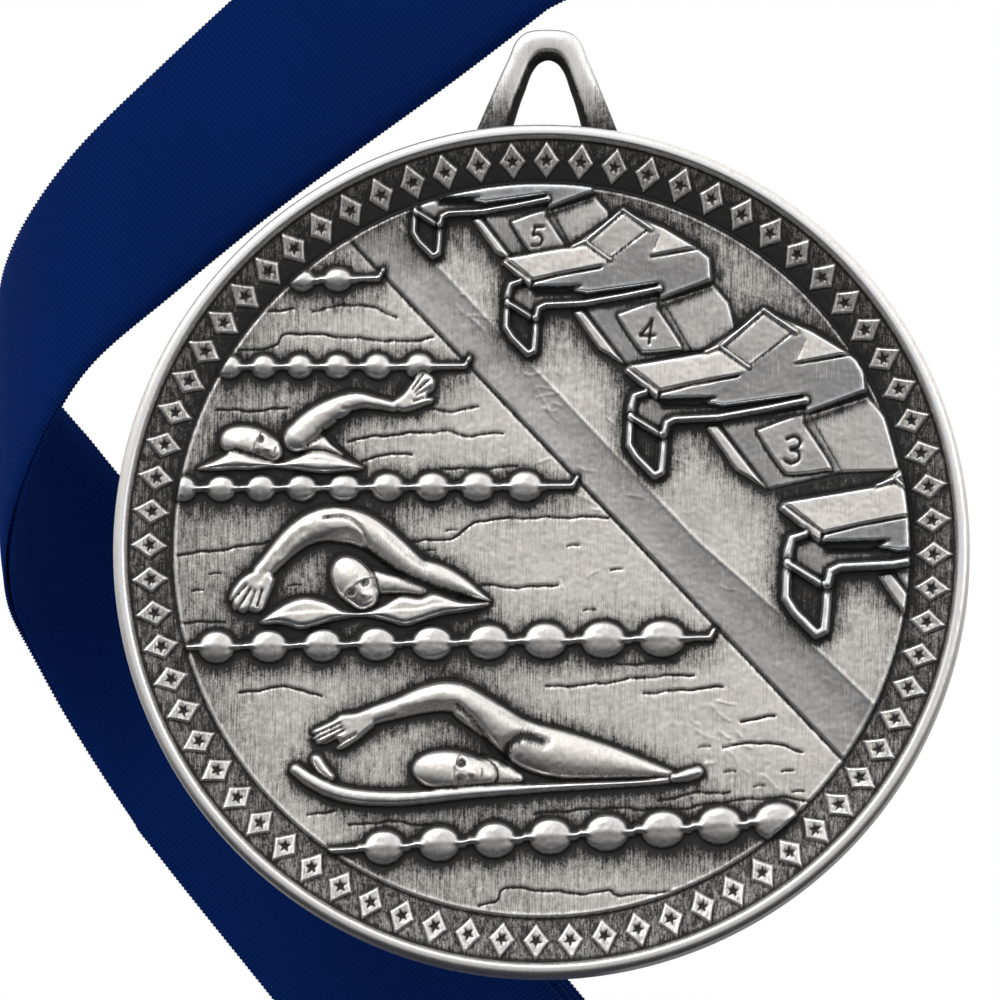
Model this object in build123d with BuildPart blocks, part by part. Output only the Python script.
from build123d import *
from math import cos, radians, sin, sqrt
import os

# A swimming medal with its neck ribbon folded up behind it, in millimetres.
# Origin: centre of the disc at half its thickness. The face looks to -Y and the hanger loop is up, at +Z.

os.makedirs("parts", exist_ok=True)

# Disc. A level is a height above the disc's middle plane, towards the face.
MEDAL_R = 40.0
MEDAL_T = 5.0
RIM_LEVEL = MEDAL_T / 2
EDGE_ROUND = 0.6
RIM_INNER_R = 38.65
BAND_OUTER_LEVEL = 1.9
BAND_INNER_LEVEL = 1.15
FIELD_R = 34.5
FIELD_LEVEL = 1.3
REVERSE_RIM_W = 2.0
REVERSE_DEPTH = 0.5
ROOT_LEVEL = 0.6                # where the raised shapes start, inside the disc

# Border band
DIAMOND_COUNT = 72
DIAMOND_R = 36.6                # where a diamond is widest
DIAMOND_OUT = 2.0               # from there to its outer tip
DIAMOND_IN = 1.6                # and to its inner tip
DIAMOND_HALF_W = 1.2
DIAMOND_RAISE = 0.22
STAR_R = 0.58
STAR_WAIST = 0.42               # inner radius over outer radius

# Hanger loop, cast behind the rim's face
LOOP_TOP = 49.1
LOOP_TOP_HALF_W = 3.3
LOOP_FOOT_Z = 39.0
LOOP_FOOT_HALF_W = 6.95
LOOP_HOLE_TOP = 46.4
LOOP_HOLE_TOP_HALF_W = 1.5
LOOP_HOLE_FOOT_HALF_W = 3.5
LOOP_HOLE_FOOT_Z = 39.2
LOOP_FRONT_LEVEL = 1.5
LOOP_T = 2.9

# Picture on the face
POOL_EDGE = [(-18.6, 29.1), (28.6, -19.5)]
DECK_RAISE = 0.15
ROPE_W = 0.55
ROPE_RAISE = 0.45
BEAD_RAISE = 0.85
CAP_RAISE = 1.1
WAVE_RAISE = 0.6
LIMB_RAISE = 0.9
BAR_RAISE = 0.75
PLINTH_RAISE = 0.4
PLATE_RAISE = 0.6
PLATFORM_RAISE = 0.85

# Neck ribbon
RIBBON_W = 20.0
RIBBON_T = 1.2                  # two plies
RIBBON_GAP = 2.3                # from the disc's back to the ribbon, all along it
STRAND_DIR = 40.0               # degrees up from +X, upper strand
TAIL_DIR = -49.0                # degrees, lower strand
UPPER_END = (0.5, 64.9)         # middle of the upper strand's fold
LOWER_END = (-1.1, -52.3)       # middle of the lower strand's fold
ROLL_R = 13.0                   # of the soft turn from the upper to the lower strand
ROLL_LEFT = -52.4
UPPER_RIM = [(-37.0, 45.2), (-52.1, 24.8)]      # the upper strand's upper edge bends to the turn
UPPER_FLANK = [(-24.8, 33.1), (-45.4, 13.4), (-49.4, 5.0), (-50.5, -6.4)]       # and its lower edge
LOWER_RIM = [(-37.3, -25.7), (-45.6, -14.0), (-50.5, -2.6)]     # the lower strand's left edge
LOWER_FLANK = [(-41.4, 9.6), (-52.1, 22.7)]                     # and its right edge
TAIL_LEAN = 0.25                # how the lower strand closes in on the disc
SMALL_FOLD_R = 2.0
INNER_FOLD_R = 1.5
TAIL_LEG = 46.0
TAIL_LEGS = 3
SEWN_LEG = 4.0
SEWN_TAPER = 35.0
SEWN_HALF_W = 2.5

# Jump ring in the ribbon's sewn end
RING_R = 5.0
RING_WIRE_R = 0.6
RING_SLIT = 0.25
EYE_R = 1.8
EYE_BORE_R = 1.2
STITCH_W = 0.35
STITCH_L = 1.3
STITCH_PITCH = 1.75
STITCH_ROWS = [(30.0, 3), (32.4, 3)]      # distance along the taper, stitches in the row
STITCH_GAP = 0.01
FOLD_OVERLAP = 1.0


def level(height):
    """The plane at this height above the disc's middle, looked at from the face."""
    return Plane.XZ.offset(height)


def polar(radius, degrees):
    return (radius * cos(radians(degrees)), radius * sin(radians(degrees)))


# ---------------------------------------------------------------- the picture on the face


def rope_beads(start, first_gap, last_gap, count):
    """Places along a lane rope: the gaps grow or shrink evenly, as they do in perspective."""
    places = [start]
    for i in range(count - 1):
        step = first_gap + (last_gap - first_gap) * i / max(1, count - 2)
        places.append(places[-1] + step)
    return places


# z at the left end, rise per mm, end of the rope, bead radius, first bead, first and last gap, count
LANES = [
    dict(z=25.6, rise=0.04, start=-23.5, end=-15.6, bead=1.05, first=-22.9, gaps=(3.4, 3.4), count=2),
    dict(z=16.9, rise=0.014, start=-30.3, end=-7.4, bead=1.15, first=-29.4, gaps=(3.2, 3.9), count=6),
    dict(z=5.6, rise=0.016, start=-34.0, end=2.8, bead=1.3, first=-33.5, gaps=(3.6, 4.4), count=9),
    dict(z=-9.3, rise=0.035, start=-33.2, end=15.8, bead=1.65, first=-30.1, gaps=(4.9, 5.5), count=9),
    dict(z=-27.5, rise=0.05, start=-19.4, end=23.0, bead=1.75, first=-14.3, gaps=(5.2, 5.3), count=8),
]


def lane_height(lane, x):
    return lane["z"] + lane["rise"] * (x - lane["start"])


def dome(middle, radius, height):
    """A ball sunk into the field, so that a cap this wide and high shows."""
    ball_r = (radius**2 + height**2) / (2 * height)
    with Locations((middle[0], -(FIELD_LEVEL + height - ball_r), middle[1])):
        Sphere(ball_r)


def limb(points, radii):
    """A flat limb: a row of circles joined by their common tangents."""
    for (a, ra), (b, rb) in zip(zip(points, radii), zip(points[1:], radii[1:])):
        with BuildSketch(mode=Mode.PRIVATE) as link:
            with Locations(a):
                Circle(ra)
            with Locations(b):
                Circle(rb)
            make_hull()
        add(link.sketch)


# Starting block, drawn once with its platform's near corner at the origin; a farther one is smaller
BLOCK_PLATFORM = [(0, 0), (3.0, -3.0), (16.9, -4.3), (22.5, -2.1), (21.1, 1.5), (16.4, 3.3), (12.7, 5.6), (7.4, 1.5)]
BLOCK_PLINTH = [(7.2, -5.6), (10.4, -10.3), (13.4, -12.0), (20.7, -11.0), (25.8, -9.4), (24.4, -4.3), (16.9, -4.0)]
BLOCK_PLATE = [(12.4, -6.2), (16.5, -4.1), (19.4, -9.7), (14.7, -10.1)]
BLOCK_BAR = [(16.8, -2.9), (4.7, -5.1), (3.4, -6.3), (3.4, -10.0), (0.6, -7.6), (0.6, -3.4), (1.9, -2.3)]
BLOCK_RUNG = [(0.7, -4.8), (3.2, -6.6)]
BLOCK_BAR_HALF_W = 0.42
BLOCKS = [((-12.7, 35.2), 0.76), ((-4.0, 27.2), 0.87), ((7.6, 17.2), 1.0), ((22.3, 4.5), 1.2)]

SWIMMERS = [
    dict(
        arm=[(-22.7, 10.2), (-17.5, 14.0), (-13.6, 13.3), (-11.2, 14.7)],
        arm_r=[1.5, 1.1, 0.7, 0.9],
        cap=((-27.4, 10.5), 2.1),
        wave=[(-32.4, 7.3), (-28.9, 9.1), (-24.7, 8.0), (-20.8, 9.4), (-16.7, 7.6), (-21.0, 7.2), (-28.5, 7.4)],
    ),
    dict(
        arm=[(-27.6, -4.2), (-25.4, -2.3), (-19.6, 2.6), (-14.6, 1.6), (-10.6, -1.8)],
        arm_r=[1.5, 0.9, 1.3, 1.9, 2.6],
        cap=((-17.6, -2.7), 2.4),
        wave=[(-26.2, -7.1), (-22.4, -4.9), (-17.0, -5.7), (-12.9, -3.9), (-4.6, -5.0), (-12.9, -7.0), (-21.9, -7.6)],
    ),
    dict(
        arm=[(-21.0, -17.4), (-15.4, -15.9), (-8.8, -14.2), (-3.4, -16.6), (3.0, -19.4), (9.0, -20.9)],
        arm_r=[1.2, 0.7, 1.1, 2.2, 1.9, 0.9],
        cap=((-8.9, -20.7), 2.1),
        wave=[(-23.0, -20.9), (-17.0, -22.6), (-1.8, -21.9), (14.9, -20.7), (12.4, -21.9), (-1.8, -23.1), (-17.3, -23.9)],
    ),
]

# ---------------------------------------------------------------- casting

with BuildPart() as beads:
    for lane in LANES:
        for x in rope_beads(lane["first"], *lane["gaps"], lane["count"]):
            dome((x, lane_height(lane, x)), lane["bead"], BEAD_RAISE)
    for swimmer in SWIMMERS:
        dome(*swimmer["cap"], CAP_RAISE)
    split(bisect_by=level(ROOT_LEVEL), keep=Keep.TOP)

with BuildPart() as diamonds:
    with BuildSketch(level(ROOT_LEVEL)):
        with PolarLocations(DIAMOND_R, DIAMOND_COUNT, start_angle=90):
            Polygon(
                (DIAMOND_OUT, 0),
                (0, DIAMOND_HALF_W),
                (-DIAMOND_IN, 0),
                (0, -DIAMOND_HALF_W),
                align=None,
            )
            star = [polar(STAR_R if i % 2 == 0 else STAR_R * STAR_WAIST, 36 * i) for i in range(10)]
            Polygon(*star, align=None, mode=Mode.SUBTRACT)
    extrude(amount=MEDAL_T)
    with BuildSketch(Plane.XY):
        top_out = -(BAND_OUTER_LEVEL + DIAMOND_RAISE)
        top_in = -(BAND_INNER_LEVEL + DIAMOND_RAISE)
        Polygon(
            (FIELD_R, -ROOT_LEVEL),
            (MEDAL_R, -ROOT_LEVEL),
            (MEDAL_R, top_out),
            (RIM_INNER_R, top_out),
            (FIELD_R, top_in),
            align=None,
        )
    revolve(axis=Axis.Y, mode=Mode.INTERSECT)

with BuildPart() as raised:
    # the deck beyond the pool's edge
    with BuildSketch(level(ROOT_LEVEL)):
        Circle(FIELD_R + 0.2)
        corner = (MEDAL_R, MEDAL_R)
        beyond = [(corner[0], POOL_EDGE[1][1]), corner, (POOL_EDGE[0][0], corner[1])]
        Polygon(*POOL_EDGE, *beyond, align=None, mode=Mode.INTERSECT)
    extrude(amount=FIELD_LEVEL + DECK_RAISE - ROOT_LEVEL)
    # lane ropes
    with BuildSketch(level(ROOT_LEVEL)):
        for lane in LANES:
            ends = [(x, lane_height(lane, x)) for x in (lane["start"], lane["end"])]
            limb(ends, [ROPE_W / 2, ROPE_W / 2])
    extrude(amount=FIELD_LEVEL + ROPE_RAISE - ROOT_LEVEL)
    # swimmers: the wave each one lies in, then the arm over it
    with BuildSketch(level(ROOT_LEVEL)):
        for swimmer in SWIMMERS:
            with BuildLine():
                Spline(*swimmer["wave"], swimmer["wave"][0])
            make_face()
    extrude(amount=FIELD_LEVEL + WAVE_RAISE - ROOT_LEVEL)
    with BuildSketch(level(ROOT_LEVEL)):
        for swimmer in SWIMMERS:
            limb(swimmer["arm"], swimmer["arm_r"])
    extrude(amount=FIELD_LEVEL + LIMB_RAISE - ROOT_LEVEL)
    # starting blocks, cut off at the edge of the field
    for outline, height in (
        (BLOCK_PLINTH, PLINTH_RAISE),
        (BLOCK_PLATE, PLATE_RAISE),
        (BLOCK_PLATFORM, PLATFORM_RAISE),
    ):
        with BuildSketch(level(ROOT_LEVEL)):
            for (x, z), size in BLOCKS:
                Polygon(*[(x + size * u, z + size * w) for u, w in outline], align=None)
            Circle(FIELD_R, mode=Mode.INTERSECT)
        extrude(amount=FIELD_LEVEL + height - ROOT_LEVEL)
    with BuildSketch(level(ROOT_LEVEL)):
        for (x, z), size in BLOCKS:
            for rail in (BLOCK_BAR, BLOCK_RUNG):
                limb(
                    [(x + size * u, z + size * w) for u, w in rail],
                    [BLOCK_BAR_HALF_W * size] * len(rail),
                )
        Circle(FIELD_R, mode=Mode.INTERSECT)
    extrude(amount=FIELD_LEVEL + BAR_RAISE - ROOT_LEVEL)

with BuildPart() as medal_casting:
    with BuildSketch(Plane.XY):
        Polygon(
            (0, -FIELD_LEVEL),
            (FIELD_R, -FIELD_LEVEL),
            (FIELD_R, -BAND_INNER_LEVEL),
            (RIM_INNER_R, -BAND_OUTER_LEVEL),
            (RIM_INNER_R, -RIM_LEVEL),
            (MEDAL_R, -RIM_LEVEL),
            (MEDAL_R, RIM_LEVEL),
            (MEDAL_R - REVERSE_RIM_W, RIM_LEVEL),
            (MEDAL_R - REVERSE_RIM_W, RIM_LEVEL - REVERSE_DEPTH),
            (0, RIM_LEVEL - REVERSE_DEPTH),
            align=None,
        )
    revolve(axis=Axis.Y)
    outer_edges = medal_casting.edges().filter_by(GeomType.CIRCLE).filter_by(lambda e: e.radius > MEDAL_R - 0.01)
    fillet(outer_edges, radius=EDGE_ROUND)
    # hanger loop: a tapered frame with a rounded top
    with BuildSketch(level(LOOP_FRONT_LEVEL)) as loop:
        Polygon(
            (-LOOP_FOOT_HALF_W, LOOP_FOOT_Z),
            (-LOOP_TOP_HALF_W, LOOP_TOP),
            (LOOP_TOP_HALF_W, LOOP_TOP),
            (LOOP_FOOT_HALF_W, LOOP_FOOT_Z),
            align=None,
        )
        fillet(loop.vertices().group_by(Axis.Z)[-1], radius=1.5)
        with BuildSketch(mode=Mode.PRIVATE) as hole:
            Polygon(
                (-LOOP_HOLE_FOOT_HALF_W, LOOP_HOLE_FOOT_Z),
                (-LOOP_HOLE_TOP_HALF_W, LOOP_HOLE_TOP),
                (LOOP_HOLE_TOP_HALF_W, LOOP_HOLE_TOP),
                (LOOP_HOLE_FOOT_HALF_W, LOOP_HOLE_FOOT_Z),
                align=None,
            )
            fillet(hole.vertices().group_by(Axis.Y)[-1], radius=0.9)
        add(hole.sketch, mode=Mode.SUBTRACT)
    extrude(amount=-LOOP_T)
    add(raised.part)
    add(beads.part)
    add(diamonds.part)
medal_casting.part.label = "medal_casting"
export_step(medal_casting.part, "parts/medal_casting.step")

# ---------------------------------------------------------------- ribbon

ribbon_y = MEDAL_T / 2 + RIBBON_GAP + RIBBON_T / 2
roll_x = ROLL_LEFT + ROLL_R + RIBBON_T / 2
half_t = RIBBON_T / 2
tail_unit = Vector(1, -TAIL_LEAN, 0).normalized()


def across(end, degrees, side):
    """The corner of a strand's end, on one side of its middle line."""
    u, w = polar(RIBBON_W / 2, degrees + 90)
    return (end[0] + side * u, end[1] + side * w)


def strand_plane(end, y, direction, away):
    """Plane through a strand's middle line: local x runs out along it, local y away from the disc."""
    along = direction.normalized()
    return Plane(origin=(end[0], y, end[1]), x_dir=along, z_dir=along.cross(away.normalized()))


def fold_line(legs, fold_radii):
    """A strand folded back and forth, seen from its edge, starting with its first fold."""
    x, y, way = 0.0, 0.0, 1
    Line((-FOLD_OVERLAP, 0), (0, 0))
    for length, fold_r in zip(legs, fold_radii):
        ThreePointArc((x, y), (x + way * fold_r, y + fold_r), (x, y + 2 * fold_r))
        y += 2 * fold_r
        Line((x, y), (x - way * length, y))
        x -= way * length
        way = -way


strand_vector = Vector(cos(radians(STRAND_DIR)), 0, sin(radians(STRAND_DIR)))
tail_cos, tail_sin = cos(radians(TAIL_DIR)), sin(radians(TAIL_DIR))
tail_vector = Vector(tail_cos, -TAIL_LEAN * tail_cos, tail_sin)
tail_y = ribbon_y + 2 * ROLL_R - TAIL_LEAN * (LOWER_END[0] - roll_x)
upper_fold = strand_plane(UPPER_END, ribbon_y, strand_vector, Vector(0, 1, 0))
lower_fold = strand_plane(LOWER_END, tail_y, tail_vector, Vector(TAIL_LEAN, 1, 0))
tail_folds = [SMALL_FOLD_R] + [INNER_FOLD_R] * (TAIL_LEGS - 1)

# The sewn end hangs on behind the upper strand; local x runs towards the ring, local y across the ribbon
sewn_start = Vector(UPPER_END[0], ribbon_y + 2 * SMALL_FOLD_R, UPPER_END[1]) - strand_vector * SEWN_LEG
sewn_plane = Plane(origin=sewn_start, x_dir=-strand_vector, z_dir=(0, -1, 0))
eye_x = SEWN_TAPER + EYE_BORE_R
eye_plane = Plane(origin=sewn_plane.from_local_coords((eye_x, 0, 0)), x_dir=-strand_vector, z_dir=sewn_plane.y_dir)

with BuildPart() as ribbon:
    # upper strand, soft turn and lower strand: a sheet bent once ...
    with BuildSketch(Plane.XY):
        with BuildLine() as sheet:
            tail_tip = Vector(roll_x, ribbon_y + 2 * ROLL_R) + tail_unit * 50
            Line((12, ribbon_y), (roll_x, ribbon_y))
            ThreePointArc(
                (roll_x, ribbon_y),
                (roll_x - ROLL_R, ribbon_y + ROLL_R),
                (roll_x, ribbon_y + 2 * ROLL_R),
            )
            Line((roll_x, ribbon_y + 2 * ROLL_R), (tail_tip.X, tail_tip.Y))
        trace(sheet.line, line_width=RIBBON_T)
    extrude(amount=80, both=True)
    # ... and cut to the outlines of its front and back halves
    with BuildPart(mode=Mode.PRIVATE) as outlines:
        outside = ROLL_LEFT - RIBBON_T
        with BuildSketch(level(-ribbon_y - ROLL_R)):
            with BuildLine():
                Line(across(UPPER_END, STRAND_DIR, -1), across(UPPER_END, STRAND_DIR, 1))
                ThreePointArc(across(UPPER_END, STRAND_DIR, 1), *UPPER_RIM)
                Line(UPPER_RIM[1], (outside, UPPER_RIM[1][1]))
                Line((outside, UPPER_RIM[1][1]), (outside, UPPER_FLANK[3][1]))
                Line((outside, UPPER_FLANK[3][1]), UPPER_FLANK[3])
                ThreePointArc(UPPER_FLANK[3], UPPER_FLANK[2], UPPER_FLANK[1])
                ThreePointArc(UPPER_FLANK[1], UPPER_FLANK[0], across(UPPER_END, STRAND_DIR, -1))
            make_face()
        extrude(amount=ROLL_R + RIBBON_T)
        with BuildSketch(level(-ribbon_y - ROLL_R)):
            with BuildLine():
                Line(across(LOWER_END, TAIL_DIR, 1), across(LOWER_END, TAIL_DIR, -1))
                Line(across(LOWER_END, TAIL_DIR, -1), LOWER_RIM[0])
                ThreePointArc(*LOWER_RIM)
                Line(LOWER_RIM[2], (outside, LOWER_RIM[2][1]))
                Line((outside, LOWER_RIM[2][1]), (outside, LOWER_FLANK[1][1]))
                Line((outside, LOWER_FLANK[1][1]), LOWER_FLANK[1])
                Line(LOWER_FLANK[1], LOWER_FLANK[0])
                Line(LOWER_FLANK[0], across(LOWER_END, TAIL_DIR, 1))
            make_face()
        extrude(amount=-ROLL_R - RIBBON_T)
    add(outlines.part, mode=Mode.INTERSECT)
    # the rest of each strand, folded up behind it
    with BuildSketch(upper_fold):
        with BuildLine() as upper_line:
            fold_line([SEWN_LEG], [SMALL_FOLD_R])
        trace(upper_line.line, line_width=RIBBON_T)
    extrude(amount=RIBBON_W / 2, both=True)
    with BuildSketch(lower_fold):
        with BuildLine() as lower_line:
            fold_line([TAIL_LEG] * TAIL_LEGS, tail_folds)
        trace(lower_line.line, line_width=RIBBON_T)
    extrude(amount=RIBBON_W / 2, both=True)
    # the sewn end, tapered to an eye for the ring
    with BuildSketch(sewn_plane):
        Polygon(
            (0, -RIBBON_W / 2),
            (SEWN_TAPER, -SEWN_HALF_W),
            (SEWN_TAPER, SEWN_HALF_W),
            (0, RIBBON_W / 2),
            align=None,
        )
    extrude(amount=RIBBON_T / 2, both=True)
    with BuildSketch(eye_plane):
        Circle(EYE_R)
    extrude(amount=SEWN_HALF_W, both=True)
    with BuildSketch(eye_plane):
        Circle(EYE_BORE_R)
    extrude(amount=SEWN_HALF_W + RIBBON_T, both=True, mode=Mode.SUBTRACT)
ribbon.part.label = "ribbon"
export_step(ribbon.part, "parts/ribbon.step")

# ---------------------------------------------------------------- ring and stitching

ring_x = eye_x + (RING_R + sqrt(RING_R**2 - SEWN_HALF_W**2)) / 2
with BuildPart() as jump_ring:
    with Locations(sewn_plane):
        with Locations((ring_x, 0, 0)):
            Torus(RING_R, RING_WIRE_R)
        with Locations((ring_x + RING_R, 0, 0)):
            Box(4 * RING_WIRE_R, RING_SLIT, 4 * RING_WIRE_R, mode=Mode.SUBTRACT)
jump_ring.part.label = "jump_ring"
export_step(jump_ring.part, "parts/jump_ring.step")

with BuildPart() as ribbon_stitching:
    for side in (-1, 1):
        stitch_level = RIBBON_T / 2 + STITCH_GAP
        with BuildSketch(sewn_plane.offset(side * stitch_level)):
            for row_x, count in STITCH_ROWS:
                with Locations((row_x, 0)):
                    with GridLocations(1, STITCH_PITCH, 1, count):
                        SlotOverall(STITCH_L, STITCH_W, rotation=90)
        extrude(amount=side * STITCH_W / 2)
ribbon_stitching.part.label = "ribbon_stitching"
export_step(ribbon_stitching.part, "parts/ribbon_stitching.step")
